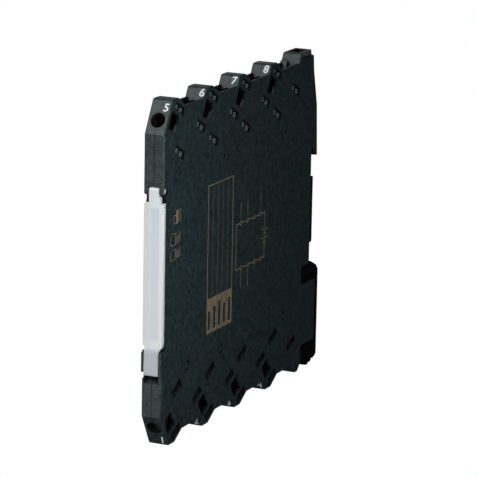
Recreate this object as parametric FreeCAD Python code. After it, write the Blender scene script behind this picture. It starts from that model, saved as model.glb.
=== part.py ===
import FreeCAD, Part
import math
import os

# Ultra slim signal isolator for a 35 mm mounting rail.
# All lengths are in millimetres. X runs through the thickness, with the printed side at +X.
# Y is 0 on the plane where the housing meets the rail, and the front of the device is at -Y.
# Z points up, with 0 half way up the rail. The upper and lower terminals mirror each other.

# Overall size
overall_width = 5.9
body_height = 94.4
side_wall = 0.8
edge_break = 0.22
corner_radius = 0.8

# Terminal blocks
blocks_per_side = 4
terminal_pitch = 20.6
slant_angle = 28.2
slant_rise = 8.7
crest_length = 3.8
rim_drop = 2.7
trough_foot = 1.05
blank_block = 13.0
wire_hole_dia = 4.2
wire_hole_rise = 4.0
entry_wall = 1.5
chamber_low = 1.2
chamber_high = 7.6
chamber_deep = 8.8

# Clamp parts
bar_thickness = 0.6
bar_width = 3.4
bar_inset = 0.3
tail_y = 4.75
tail_thickness = 0.7
tail_width = 1.2
tail_overlap = 2.3
clamp_thickness = 0.4
clamp_width = 4.0
part_gap = 0.1

# Snap fingers and their windows in the printed side
finger_gap = 0.5
upper_finger_sink = 0.5
lower_finger_sink = 1.7
finger_slope = 1.0
finger_split = 1.1

# Blank block: the step on its slanted face, as low, high, near and far limits, its notch and its pocket
blank_pad = (4.2, 7.0, -1.0, 0.2)
pad_right = -0.6
notch_left = 2.2
notch_depth = 1.6
notch_start = 0.4
crown_left = -2.0
crown_right = 1.6
crown_start = 1.2
crown_end = -1.0
crown_depth = 1.2

# Pins of the plain half that pass through the printed half
pin_back = 15.5
pin_inset = 1.0
pin_dia = 2.2
pin_clearance = 0.05
pin_sink = 0.25
countersink = 0.4

# Electronics bay
bay_inset = 9.9
bay_front = 4.2
bay_rear_wall = 2.4
bay_slider_wall = 1.5
window_half = 18.6

# Circuit board
board_thickness = 0.8
board_lift = 0.3
board_inset = 2.8
board_gap = 0.15
rib_front = 11.0
rib_rear = 13.0
rib_inset = 7.6
rib_length = 2.4
rib_width = 1.2

# Rail side
rail_height = 35.0
rail_flange = 1.0
rail_clearance = 0.2
groove_clearance = 0.5
hook_reach = 4.15
hook_lip = 1.9
rear_lead = 0.3
rear_foot = 0.4
rear_drop = 2.0
shoulder_reach = 0.85
shoulder_drop = 6.2
bulge_reach = 3.35
bulge_rise = 13.2
key_height = 19.6
key_width = 3.8
key_stand = 1.6
key_seat = 1.1
key_gap = 0.05
key_chamfer = 0.3

# Rail slider
slider_reach = 6.7
slider_travel = 2.1
slider_gap = 0.1
slider_inset = 0.05
slider_wall = 0.95
slider_length = 11.7
bay_gap = 0.3
slot_above_hook = 1.4
hook_below_edge = 0.1
hook_grip = 1.8
bar_height = 1.9
spine_depth = 2.15
plate_rise = 7.4
grip_rise = 6.0
grip_base = 2.0
grip_start = 0.5
grip_bevel = 0.6
grip_count = 4
grip_pitch = 2.2
grip_groove = 0.35
pull_base = 0.4
pull_front = -0.5
pull_depth = 1.6
pocket_drop = 7.4
pocket_depth = 4.6
pocket_wall = 2.1
stop_height = 1.9
stop_rise = 9.7
meander_legs = 8
meander_thickness = 0.3
meander_width = 1.8

# Front cover
cover_top = 20.1
cover_low = -18.6
cover_skin = 0.85
cover_skirt = 0.65
cover_depth = 1.35
cover_corner = 0.5
cover_nick = 0.15
cover_gap = 0.05
rebate_gap = 0.1
ridge_x = -0.67
ridge_rise = 0.15
neck_width = 2.9
neck_gap = 0.15
neck_thickness = 0.95
neck_front = 0.1
pivot_back = 1.25
pivot_rise = 3.25
pivot_dia = 1.86
pivot_clearance = 0.07
pivot_recess = 0.5
swing_clearance = 0.1
cheek_stand = 0.5
cheek_left = 0.55
cheek_right = 0.88
cheek_drop = 2.0
tab_length = 8.4
tab_thickness = 0.9
tab_gap = 0.1
tab_room = 2.4
recess_height = 2.2
recess_depth = 3.2
scoop_height = 0.9
scoop_depth = 1.05
scoop_low = 0.8
scoop_foot = 1.3

# Adjusters and lamp behind the cover
trimmer_size = 3.6
trimmer_depth = 3.4
trimmer_front = 6.2
part_headroom = 0.3
screw_dia = 1.8
screw_stand = 0.9
screw_sink = 0.5
screw_clearance = 0.05
screw_slot = 0.35
zero_z = 9.0
span_z = 2.0
lamp_z = -6.0

# Transformer
core_front = 40.0
core_length = 16.0
core_back = 3.0
core_half_height = 8.4
core_leg = 2.6
core_middle_leg = 4.4
core_middle_width = 0.9
core_gap = 0.05
bobbin_wall = 0.3
flange_wall = 0.6

# Chips and their places, as distance behind the front and height
chip_body = (5.0, 3.9, 1.6)
processor_body = (6.5, 4.4, 1.2)
coupler_body = (4.6, 4.4, 2.1)
lead_thickness = 0.15
lead_width = 0.4
lead_reach = 1.0
lead_height = 0.85
chip_places = {
    "input_amplifier": (21.0, 12.0, chip_body, 4),
    "output_amplifier": (66.0, 12.0, chip_body, 4),
    "supply_regulator": (74.0, -8.0, chip_body, 4),
    "processor": (22.0, -6.0, processor_body, 7),
    "optocoupler": (48.0, 17.5, coupler_body, 2),
}
capacitor_body = (7.0, 4.2, 2.6)
capacitor_places = {"input_capacitor": (65.5, -6.0), "output_capacitor": (80.5, 6.0)}
ceramic_body = (2.0, 1.25, 1.0)
ceramic_places = [(28.5, 12.0), (28.5, 16.0), (59.0, 14.0), (59.0, 18.0), (73.0, 14.0), (81.0, -5.0)]
resistor_body = (1.6, 0.8, 0.5)
resistor_places = [
    (14.0, 14.0), (14.0, 17.0), (14.0, -12.0), (14.0, -15.0), (36.0, 16.0), (36.0, 19.0),
    (58.0, -13.0), (58.0, -16.0), (66.0, -14.5), (66.0, -17.5), (75.0, 18.0), (81.0, 14.0),
]
diode_body = (4.3, 2.6, 2.0)
diode_places = [(30.0, -10.5), (34.0, -10.5)]
choke_place = (31.0, -4.0)
choke_size = 5.0
choke_height = 2.3

half_width = overall_width / 2
inner_x = half_width - side_wall
half_height = body_height / 2
slant_foot_z = half_height - slant_rise
rim_z = half_height - rim_drop
body_depth = blocks_per_side * terminal_pitch + blank_block
front_y = -body_depth
slant = math.radians(slant_angle)
slant_sin = math.sin(slant)
slant_cos = math.cos(slant)
slant_tan = math.tan(slant)
tip_run = (half_height - slant_foot_z) * slant_tan
rim_run = (rim_z - slant_foot_z) * slant_tan
crest_rear = tip_run + crest_length
foot_y = terminal_pitch + trough_foot * slant_sin
foot_z = slant_foot_z + trough_foot * slant_cos
floor_slope = (half_height - foot_z) / (foot_y - crest_rear)
rim_start = crest_rear + (half_height - rim_z) / floor_slope
blank_y = front_y + blocks_per_side * terminal_pitch
blank_tip = blank_y + tip_run
bay_top = slant_foot_z - bay_inset
pin_z = bay_top - pin_inset
half_rail = rail_height / 2
groove_y = rail_flange + rail_clearance
hook_top = -half_rail + hook_below_edge
hook_tip = hook_top + hook_grip
slot_top = hook_top + slot_above_hook
bar_low = hook_top - bar_height
plate_top = bar_low - slider_travel - slider_gap
plate_low = -half_height + plate_rise
plate_rear = slider_reach - spine_depth
grip_top = -half_height + grip_rise
grip_low = -half_height + grip_base
pull_low = -half_height + pull_base
slider_front = slider_reach - slider_length
slider_wall_y = slider_front - bay_gap
slider_half = half_width - slider_wall - slider_gap
pocket_top = hook_top - pocket_drop
pocket_front = slider_front + pocket_wall
stop_low = -half_height + stop_rise
stop_high = stop_low + stop_height
board_back = -inner_x + board_lift
board_face = board_back + board_thickness
board_half_height = bay_top - board_inset
board_front = front_y + bay_front + board_gap
pivot_y = front_y + pivot_back
pivot_z = cover_top + pivot_rise
barrel_dia = 2 * (pivot_back - neck_front)
tab_low = cover_low - tab_length
recess_low = tab_low - recess_height
tab_left = -half_width + cheek_left
tab_right = half_width - cheek_right
trimmer_height = inner_x - board_face - part_headroom
core_right = inner_x - 0.2
core_x = (board_face + core_right) / 2
bobbin_low = front_y + core_front + core_back + 0.1
bobbin_high = front_y + core_front + core_length - core_back - 0.1
bobbin_span = (bobbin_low, bobbin_high)
x_axis = FreeCAD.Vector(1, 0, 0)
y_axis = FreeCAD.Vector(0, 1, 0)

# Windows for the snap fingers, as low, high, near and far limits along and into the slanted face
finger_windows = {
    "lower": (-2.25, 0.15, 8.0, 13.9),
    "front": (-1.65, 0.75, -1.25, 4.35),
    "upper": (8.2, 10.3, 2.3, 7.9),
}
# Opening in the printed side that shows the clamp, with a step in its far edge
clamp_slot = [(2.1, 1.1), (7.3, 1.1), (7.3, 5.7), (5.2, 6.0), (5.2, 5.4), (2.1, 5.4)]


def local(block_no, rise, depth, side):
    """Point of the side view, from a height along the slanted face and a depth square to it."""
    y = front_y + block_no * terminal_pitch + rise * slant_sin + depth * slant_cos
    z = slant_foot_z + rise * slant_cos - depth * slant_sin
    return (y, side * z)


def prism(points, x_low, x_high):
    """Solid with a side view outline of Y, Z points, between two X planes."""
    corners = [FreeCAD.Vector(x_low, y, z) for y, z in points]
    wire = Part.makePolygon(corners + corners[:1])
    return Part.Face(wire).extrude(x_axis * (x_high - x_low))


def rounded_prism(points, x_low, x_high):
    """Same as a prism, where each point is Y, Z and the radius that rounds its corner."""
    edges = []
    starts = []
    ends = []
    arcs = []
    count = len(points)
    for i, (y, z, radius) in enumerate(points):
        here = FreeCAD.Vector(x_low, y, z)
        before = FreeCAD.Vector(x_low, points[i - 1][0], points[i - 1][1]) - here
        after = FreeCAD.Vector(x_low, points[(i + 1) % count][0], points[(i + 1) % count][1]) - here
        half_turn = before.getAngle(after) / 2
        reach = radius / math.tan(half_turn)
        start = here + before.normalize() * reach
        end = here + after.normalize() * reach
        inward = (before + after).normalize()
        middle = here + inward * (radius / math.sin(half_turn) - radius)
        starts.append(start)
        ends.append(end)
        arcs.append(Part.Arc(start, middle, end).toShape() if radius > 0 else None)
    for i in range(count):
        if arcs[i]:
            edges.append(arcs[i])
        edges.append(Part.makeLine(ends[i], starts[(i + 1) % count]))
    return Part.Face(Part.Wire(edges)).extrude(x_axis * (x_high - x_low))


def column(points, z_low, z_high):
    """Solid with a plan outline of X, Y points, between two heights."""
    corners = [FreeCAD.Vector(x, y, z_low) for x, y in points]
    wire = Part.makePolygon(corners + corners[:1])
    return Part.Face(wire).extrude(FreeCAD.Vector(0, 0, z_high - z_low))


def facing(points, y_low, y_high):
    """Solid with a front view outline of X, Z points, between two depths."""
    corners = [FreeCAD.Vector(x, y_low, z) for x, z in points]
    wire = Part.makePolygon(corners + corners[:1])
    return Part.Face(wire).extrude(y_axis * (y_high - y_low))


def block(x_span, y_span, z_span):
    """Box from three pairs of limits, each in any order."""
    low = FreeCAD.Vector(min(x_span), min(y_span), min(z_span))
    sizes = [max(span) - min(span) for span in (x_span, y_span, z_span)]
    return Part.makeBox(*sizes, low)


def rod(dia, x_low, x_high, y, z):
    """Round bar along X."""
    return Part.makeCylinder(dia / 2, x_high - x_low, FreeCAD.Vector(x_low, y, z), x_axis)


def patch(block_no, low, high, near, far, side):
    """Four points of a rectangle that is turned with the slanted face."""
    corners = [(low, near), (high, near), (high, far), (low, far)]
    return [local(block_no, rise, depth, side) for rise, depth in corners]


def ribbon(path, thickness):
    """Outline of a bent strip whose centre line runs through the path, with mitred corners."""
    left = []
    right = []
    for i, (a, b) in enumerate(path):
        normals = []
        for start, end in zip(path[max(i - 1, 0):i + 1], path[max(i, 1):i + 2]):
            run = (end[0] - start[0], end[1] - start[1])
            length = math.hypot(*run)
            normals.append((-run[1] / length, run[0] / length))
        na = sum(n[0] for n in normals) / len(normals)
        nb = sum(n[1] for n in normals) / len(normals)
        scale = thickness / 2 / (na * na + nb * nb)
        left.append((a + na * scale, b + nb * scale))
        right.append((a - na * scale, b - nb * scale))
    return left + right[::-1]


def fuse(shapes):
    """One solid from several that meet, with the seams cleaned away."""
    return shapes[0].multiFuse(shapes[1:]).removeSplitter()


def body_outline():
    """Side view of the housing, with its toothed edges, rail hook and slider bay."""
    upper = [(front_y, slant_foot_z, 0)]
    for k in range(blocks_per_side):
        y = front_y + k * terminal_pitch
        if k > 0:
            upper.append((y + rim_run, rim_z, 0))
        upper.append((y + tip_run, half_height, corner_radius))
        upper.append((y + crest_rear, half_height, corner_radius))
        upper.append((y + rim_start, rim_z, 0))
    upper.append((blank_y + rim_run, rim_z, 0))
    upper.append((blank_tip, half_height, corner_radius))
    lower = [(y, -z, radius) for y, z, radius in upper]
    rear = [
        (-rear_lead, half_height, 0),
        (rear_foot, half_height - rear_drop, 0),
        (shoulder_reach, half_height - shoulder_drop, corner_radius),
        (bulge_reach, half_rail + bulge_rise, corner_radius),
        (hook_reach, half_rail - 0.5, 0),
        (hook_reach - 0.2, half_rail - hook_lip, 0),
        (groove_y, half_rail - hook_lip + 0.5, 0),
        (groove_y, half_rail + groove_clearance, 0),
        (0.0, half_rail + groove_clearance, 0),
        (0.0, slot_top, 0),
        (slider_wall_y, slot_top, 0),
        (slider_wall_y, plate_top, 0),
        (plate_rear, plate_top, 0),
        (plate_rear, plate_low, 0),
        (slider_front + bay_gap / 2, plate_low, 0),
        (slider_front + bay_gap / 2, grip_low, 0),
        (blank_tip + crest_length * 0.4, -half_height, 0),
    ]
    return upper + rear + lower[::-1]


def housing_half(x_low, x_high):
    """Solid half of the housing with its outer edges broken."""
    half = rounded_prism(body_outline(), x_low, x_high)
    outer = x_high if x_high > 0 else x_low
    edges = []
    for edge in half.Edges:
        box = edge.BoundBox
        flat = abs(box.XMin - outer) < 1e-6 and abs(box.XMax - outer) < 1e-6
        clear = box.YMax < slider_wall_y - 0.1 or box.ZMin > half_rail - 0.6
        if flat and clear:
            edges.append(edge)
    return half.makeChamfer(edge_break, edges)


def bay_tool():
    """Space for the electronics, inside both halves, with the window behind the cover."""
    rear = -bay_rear_wall
    low_rear = slider_wall_y - bay_slider_wall
    step = slot_top + bay_slider_wall
    front = front_y + bay_front
    outside = front_y - cheek_stand - 1.0
    outline = [
        (front, bay_top),
        (rear, bay_top),
        (rear, step),
        (low_rear, step),
        (low_rear, -bay_top),
        (front, -bay_top),
        (front, -window_half),
        (outside, -window_half),
        (outside, window_half),
        (front, window_half),
    ]
    return prism(outline, -inner_x, inner_x)


def terminal_tools(side):
    """Chambers, tail slots, wire holes and troughs of one row of terminals."""
    tools = []
    for k in range(blocks_per_side):
        chamber = patch(k, chamber_low, chamber_high, entry_wall, chamber_deep, side)
        tools.append(prism(chamber, -inner_x, inner_x))
        start = local(k, wire_hole_rise, -2.0, side)
        end = local(k, wire_hole_rise, entry_wall + 1.0, side)
        base = FreeCAD.Vector(0, start[0], start[1])
        run = FreeCAD.Vector(0, end[0], end[1]) - base
        tools.append(Part.makeCylinder(wire_hole_dia / 2, run.Length, base, run))
        y = front_y + k * terminal_pitch
        reach = tail_thickness / 2 + part_gap
        tail_span = (y + tail_y - reach, y + tail_y + reach)
        tail_half = tail_width + part_gap
        z_span = (side * (bay_top - 0.5), side * (slant_foot_z - 0.8))
        tools.append(block((-inner_x, board_face + tail_half), tail_span, z_span))
        trough = [
            (y + crest_rear, half_height),
            (y + foot_y, foot_z),
            (y + terminal_pitch + tip_run + slant_tan, half_height + 1.0),
            (y + crest_rear, half_height + 1.0),
        ]
        tools.append(prism([(a, side * b) for a, b in trough], -inner_x, inner_x))
    return tools


def cover_tools():
    """Room for the front cover, its pivot and the fingertip, which also opens the plain side."""
    outside = half_width + 1.0
    front = front_y - cheek_stand - 1.0
    rebate = front_y + cover_depth + rebate_gap
    ledge = front_y + 1.7
    neck = neck_width / 2 + neck_gap
    swing = barrel_dia / 2 + swing_clearance
    tools = [block((-outside, outside), (front, rebate), (cover_low - cheek_drop + 0.4, cover_top + 0.5))]
    tools.append(block((-inner_x, inner_x), (front, ledge), (cover_top, pivot_z - swing + 0.2)))
    prong = [
        (front, cover_top + 0.4),
        (ledge, cover_top + 0.4),
        (ledge, pivot_z - swing),
        (pivot_y - 0.4, pivot_z - swing),
        (front_y, pivot_z - 0.6),
        (front, pivot_z - 0.6),
    ]
    tools.append(prism(prong, -outside, outside))
    tools.append(rod(2 * swing, -neck, neck, pivot_y, pivot_z))
    tools.append(block((-neck, neck), (front, pivot_y), (cover_top, pivot_z + swing)))
    tools.append(rod(pivot_dia + 2 * pivot_clearance, -outside, outside, pivot_y, pivot_z))
    tab_span = (tab_left, tab_right)
    tools.append(block(tab_span, (front, front_y + tab_room), (tab_low - tab_gap, cover_low)))
    finger = [
        (front, tab_low + 0.5),
        (front_y + recess_depth, tab_low + 0.5),
        (front_y + recess_depth, tab_low - 0.6),
        (front_y, recess_low),
        (front, recess_low),
    ]
    tools.append(prism(finger, *tab_span))
    scoop = [
        (front, tab_low + scoop_height),
        (front_y + scoop_depth, tab_low + scoop_height),
        (front_y + scoop_depth, tab_low - scoop_low),
        (front_y, tab_low - scoop_foot),
        (front, tab_low - scoop_foot),
    ]
    tools.append(prism(scoop, -outside, tab_left))
    return tools


def cheek(x_span):
    """Guard that stands beside the finger tab of the cover."""
    return block(x_span, (front_y - cheek_stand, front_y + 0.5), (tab_low, cover_low - cheek_drop))


def slider_bay_tool():
    """Slot between the two rear plates in which the slider runs."""
    half = slider_half + slider_gap
    return block((-half, half), (slider_wall_y, slider_reach + 1.0), (grip_low, slot_top))


def crown_tool():
    """Shallow pocket in the top of the blank block."""
    z_span = (half_height - crown_depth, half_height + 1.0)
    return block((crown_left, crown_right), (blank_tip + crown_start, crown_end), z_span)


def key_tool():
    """Seat of the black key in the rear wall."""
    half = key_height / 2 + key_gap
    reach = key_width / 2 + key_gap
    return block((-reach, reach), (-key_seat, 1.0), (-half, half))


def window_list():
    """Every snap window, as a block number, its limits and its side."""
    found = []
    for side in (1, -1):
        for k in range(blocks_per_side):
            found.append((k, finger_windows["lower"], side))
            found.append((k + 1, finger_windows["front"], side))
            found.append((k, finger_windows["upper"], side))
    return found


def snap_finger(block_no, low, high, near, far, side):
    """One snap finger, whose tip slopes away towards the front."""
    tip = half_width - (upper_finger_sink if side > 0 else lower_finger_sink)
    root = -inner_x - 0.2
    outline = [(root, near), (tip - finger_slope, near), (tip, near + finger_slope), (tip, far), (root, far)]
    corners = []
    for x, depth in outline:
        y, z = local(block_no, low, depth, side)
        corners.append(FreeCAD.Vector(x, y, z))
    start = local(block_no, low, near, side)
    end = local(block_no, high, near, side)
    face = Part.Face(Part.makePolygon(corners + corners[:1]))
    return face.extrude(FreeCAD.Vector(0, end[0] - start[0], end[1] - start[1]))


def finger_pair(block_no, window, side):
    """Two snap fingers that share one window."""
    low, high, near, far = window
    length = (far - near - 2 * finger_gap - finger_split) / 2
    starts = (near + finger_gap, far - finger_gap - length)
    return [snap_finger(block_no, low + finger_gap, high - finger_gap, start, start + length, side)
            for start in starts]


def pin_places():
    """Side view centres of the pins."""
    ys = [front_y + pin_back + k * terminal_pitch for k in range(blocks_per_side)]
    return [(y, side * pin_z) for y in ys for side in (1, -1)]


def board_ribs(x_span):
    """Short ribs that hold the board off one wall."""
    z = bay_top - rib_inset
    ribs = []
    for y in (front_y + rib_front, -rib_rear - rib_length):
        for side in (1, -1):
            ribs.append(block(x_span, (y, y + rib_length), (side * z, side * (z - rib_width))))
    return ribs


def raw_half(x_low, x_high, cheek_span):
    """One half of the housing, hollowed but without its pins, fingers or windows."""
    shell = housing_half(x_low, x_high)
    shell = shell.fuse(cheek(cheek_span)).removeSplitter()
    tools = [bay_tool(), slider_bay_tool(), key_tool(), crown_tool()]
    return shell.cut(tools + terminal_tools(1) + terminal_tools(-1) + cover_tools())


def left_shell():
    """Half shell on the plain side, with the pins, snap fingers and slider stop."""
    adds = [raw_half(-half_width, 0, (-half_width, tab_left))]
    adds += board_ribs((-inner_x - 0.1, board_back))
    for y, z in pin_places():
        adds.append(rod(pin_dia, -inner_x - 0.1, half_width - pin_sink, y, z))
    for block_no, window, side in window_list():
        adds += finger_pair(block_no, window, side)
    stop_x = (-slider_half - slider_gap - 0.1, slider_half)
    stop_y = (pocket_front + slider_gap * 2, pocket_front + pocket_depth - slider_gap * 2)
    adds.append(block(stop_x, stop_y, (stop_low, stop_high)))
    pad = patch(blocks_per_side, *blank_pad, 1)
    adds.append(prism(pad, -half_width + edge_break, pad_right))
    return fuse(adds)


def right_shell():
    """Half shell on the printed side, with the clamp slots and snap windows."""
    outside = half_width + 1.0
    adds = [raw_half(0, half_width, (tab_right, half_width))]
    adds += board_ribs((board_face, inner_x + 0.1))
    hole = pin_dia / 2 + pin_clearance
    tools = []
    for y, z in pin_places():
        base = FreeCAD.Vector(inner_x, y, z)
        tools.append(Part.makeCone(hole, hole + countersink, side_wall, base, x_axis))
        tools.append(rod(2 * hole, -1.0, inner_x, y, z))
    for block_no, window, side in window_list():
        tools.append(prism(patch(block_no, *window, side), -1.0, outside))
    for side in (1, -1):
        for k in range(blocks_per_side):
            slot = [local(k, rise, depth, side) for rise, depth in clamp_slot]
            tools.append(prism(slot, inner_x - 0.2, outside))
    notch_z = (half_height - notch_depth, half_height + 1.0)
    tools.append(block((notch_left, outside), (blank_tip + notch_start, rear_foot + 1.0), notch_z))
    return fuse(adds).cut(tools)


def circuit_board():
    """Printed board, with a notch that clears the slider bay."""
    rear = -bay_rear_wall - board_gap
    low_rear = slider_wall_y - bay_slider_wall - board_gap
    step = slot_top + bay_slider_wall + board_gap
    outline = [
        (board_front, board_half_height),
        (rear, board_half_height),
        (rear, step),
        (low_rear, step),
        (low_rear, -board_half_height),
        (board_front, -board_half_height),
    ]
    return prism(outline, board_back, board_face)


def current_bar(block_no, side):
    """Contact bar of one terminal, with its upright and the tail that is soldered to the board."""
    low = chamber_low + part_gap / 2
    high = chamber_high - bar_inset
    near = entry_wall + bar_inset
    far = chamber_deep - bar_inset
    half = bar_width / 2
    floor = prism(patch(block_no, low, low + bar_thickness, near, far, side), -half, half)
    back = prism(patch(block_no, low, high, far - bar_thickness, far, side), -half, half)
    y = front_y + block_no * terminal_pitch + tail_y
    depth = (tail_y - (low + bar_thickness / 2) * slant_sin) / slant_cos
    joint_z = local(block_no, low + bar_thickness / 2, depth, 1)[1]
    z_span = (side * (board_half_height - tail_overlap), side * joint_z)
    y_span = (y - tail_thickness / 2, y + tail_thickness / 2)
    tail = block((board_face, board_face + tail_width), y_span, z_span)
    return fuse([floor, back, tail])


def clamp_spring(block_no, side):
    """Bent leaf that presses the wire onto the contact bar."""
    top = chamber_high - bar_inset - clamp_thickness / 2
    rear = chamber_deep - bar_inset - bar_thickness - clamp_thickness / 2
    near = entry_wall + 0.8
    floor = chamber_low + part_gap / 2 + bar_thickness
    path = [
        (floor + 1.3, rear),
        (top - 0.7, rear),
        (top, rear - 0.8),
        (top, near + 0.6),
        (top - 0.5, near),
        (floor + 1.3, rear - 2.2),
        (floor + 0.35, rear - 2.4),
    ]
    outline = [local(block_no, rise, depth, side) for rise, depth in ribbon(path, clamp_thickness)]
    return prism(outline, -clamp_width / 2, clamp_width / 2)


def rail_key():
    """Black key whose stem seats in the rear wall and whose head enters the channel of the rail."""
    half = key_height / 2
    reach = key_width / 2
    head_half = half_width - slider_inset
    head = prism([
        (key_gap, -half),
        (key_stand - key_chamfer, -half),
        (key_stand, -half + key_chamfer),
        (key_stand, half - key_chamfer),
        (key_stand - key_chamfer, half),
        (key_gap, half),
    ], -head_half, head_half)
    stem = block((-reach, reach), (-key_seat, key_stand / 2), (-half, half))
    return fuse([head, stem])


def rail_slider():
    """Sprung slider with its rail hook, spine, and the grip that ends in a pull tab."""
    hook_half = half_width - slider_inset
    hook_front = groove_y + slider_inset
    hook = prism([
        (slider_front, bar_low),
        (slider_front, hook_top),
        (hook_front, hook_top),
        (hook_front, hook_tip),
        (plate_rear - 1.5, hook_tip - 0.8),
        (slider_reach - 1.2, hook_tip - 2.0),
        (slider_reach, bar_low + 0.2),
        (slider_reach, bar_low),
    ], -hook_half, hook_half)
    plate_span = (slider_front, plate_rear + slider_gap)
    plate = block((-slider_half, slider_half), plate_span, (grip_top, bar_low))
    spine_span = (plate_rear + slider_gap, slider_reach)
    spine = block((-hook_half, hook_half), spine_span, (grip_top, bar_low))
    grip_front = slider_front + grip_start
    grip = prism([
        (grip_front, grip_top),
        (slider_reach, grip_top),
        (slider_reach, grip_low + grip_bevel),
        (slider_reach - grip_bevel, grip_low),
        (pull_front + pull_depth, pull_low),
        (pull_front, pull_low),
        (grip_front, grip_low + grip_bevel),
    ], -hook_half, hook_half)
    outside = half_width + 1.0
    pocket_y = (pocket_front, pocket_front + pocket_depth)
    tools = [block((-outside, outside), pocket_y, (stop_low - slider_gap, pocket_top))]
    for i in range(grip_count):
        y = grip_front + grip_pitch * (i + 0.5)
        for sign in (1, -1):
            x_span = (sign * (hook_half - grip_groove), sign * outside)
            tools.append(block(x_span, (y, y + grip_pitch / 2), (pull_low - 0.5, grip_top - 0.5)))
    return fuse([hook, plate, spine, grip]).cut(tools)


def slider_spring():
    """Meander leaf between the fixed stop and the top of the slider's pocket."""
    low = stop_high + meander_thickness / 2
    high = pocket_top - meander_thickness / 2
    rise = (high - low) / meander_legs
    near = pocket_front + 0.6
    far = pocket_front + pocket_depth - 0.6
    path = [(near, low)]
    for i in range(meander_legs):
        y = far if i % 2 == 0 else near
        path.append((y, low + i * rise))
        path.append((y, low + (i + 1) * rise))
    path.append((far if meander_legs % 2 == 0 else near, high))
    return prism(ribbon(path, meander_thickness), -meander_width / 2, meander_width / 2)


def front_cover():
    """Translucent flap with its neck, pivot pins, skirts and finger tab."""
    side = half_width - cover_gap
    inner = side - cover_skirt
    back = front_y + cover_skin
    skirt = front_y + cover_depth
    section = [
        (-side, front_y + ridge_rise),
        (ridge_x, front_y),
        (side - 0.3, front_y + ridge_rise),
        (side, front_y + ridge_rise + 0.25),
        (side, skirt),
        (inner, skirt),
        (inner, back),
        (-inner, back),
        (-inner, skirt),
        (-side, skirt),
    ]
    left = tab_left + tab_gap
    right = tab_right - tab_gap
    outline = [
        (-side, cover_low),
        (-side, cover_top - cover_corner),
        (-side + cover_corner, cover_top),
        (side - cover_nick, cover_top),
        (side, cover_top - cover_nick),
        (side, cover_low + 0.5),
        (side - 0.1, cover_low - 0.2),
        (side - 0.4, cover_low - 0.8),
        (right, cover_low - 1.4),
        (left, cover_low - 1.4),
        (left, cover_low - 0.6),
    ]
    panel = column(section, cover_low - 1.5, cover_top)
    panel = panel.common(facing(outline, front_y - 1.0, skirt + 1.0))
    tab = prism([
        (front_y + 0.1, cover_low),
        (front_y - 0.2, cover_low - 2.4),
        (front_y - 0.35, tab_low + 0.3),
        (front_y - 0.2, tab_low),
        (front_y - 0.35 + tab_thickness, tab_low),
        (back, cover_low - 1.4),
        (back, cover_low),
    ], left, right)
    half = neck_width / 2
    neck_y = (front_y + neck_front, front_y + neck_front + neck_thickness)
    neck = block((-half, half), neck_y, (cover_top - 0.6, pivot_z))
    shoulder_top = pivot_z - barrel_dia / 2 - 0.4
    shoulder = block((-half, inner_x - neck_gap), neck_y, (cover_top - 0.6, shoulder_top))
    barrel = rod(barrel_dia, -half, half, pivot_y, pivot_z)
    pin_end = half_width - pivot_recess
    pins = rod(pivot_dia, -pin_end, pin_end, pivot_y, pivot_z)
    return fuse([panel, tab, neck, shoulder, barrel, pins])


def trimmer_body(z):
    """Case of a small trimming resistor, with a round well for its screw."""
    y = front_y + trimmer_front
    half = trimmer_size / 2
    case = block((board_face, board_face + trimmer_height), (y, y + trimmer_depth), (z - half, z + half))
    mouth = FreeCAD.Vector(board_face + trimmer_height / 2, y - 1.0, z)
    well_radius = screw_dia / 2 + screw_clearance
    well = Part.makeCylinder(well_radius, 1.0 + screw_sink + screw_clearance, mouth, y_axis)
    return case.cut(well)


def trimmer_screw(z):
    """Slotted adjusting screw that turns in its trimmer."""
    start = front_y + trimmer_front - screw_stand
    head = FreeCAD.Vector(board_face + trimmer_height / 2, start, z)
    screw = Part.makeCylinder(screw_dia / 2, screw_stand + screw_sink, head, y_axis)
    x_span = (head.x - screw_dia, head.x + screw_dia)
    return screw.cut(block(x_span, (start - 1.0, start + 0.4), (z - screw_slot / 2, z + screw_slot / 2)))


def power_lamp():
    """Side looking lamp on the front edge of the board."""
    y = front_y + trimmer_front
    base = block((board_face, board_face + 2.0), (y, y + 1.6), (lamp_z - 1.5, lamp_z + 1.5))
    lens = block((board_face + 0.4, board_face + 1.6), (y - 1.0, y), (lamp_z - 1.0, lamp_z + 1.0))
    return fuse([base, lens])


def core_half(sign):
    """E shaped ferrite half, with a thin middle leg for the windings."""
    middle = front_y + core_front + core_length / 2
    end = middle + sign * core_length / 2
    root = end - sign * core_back
    x_span = (board_face, core_right)
    back = block(x_span, (end, root), (-core_half_height, core_half_height))
    upper = block(x_span, (middle, root), (core_half_height - core_leg, core_half_height))
    lower = block(x_span, (middle, root), (-core_half_height, -core_half_height + core_leg))
    leg_x = (core_x - core_middle_width / 2, core_x + core_middle_width / 2)
    leg = block(leg_x, (middle, root), (-core_middle_leg / 2, core_middle_leg / 2))
    return fuse([back, upper, lower, leg])


def tube(half_x, half_z, wall_x, wall_z, y_span):
    """Rectangular tube along Y about the middle leg, from its hole and its walls."""
    outer_x = half_x + wall_x
    outer_z = half_z + wall_z
    outer = block((core_x - outer_x, core_x + outer_x), y_span, (-outer_z, outer_z))
    y_long = (y_span[0] - 1.0, y_span[1] + 1.0)
    return outer.cut(block((core_x - half_x, core_x + half_x), y_long, (-half_z, half_z)))


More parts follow.
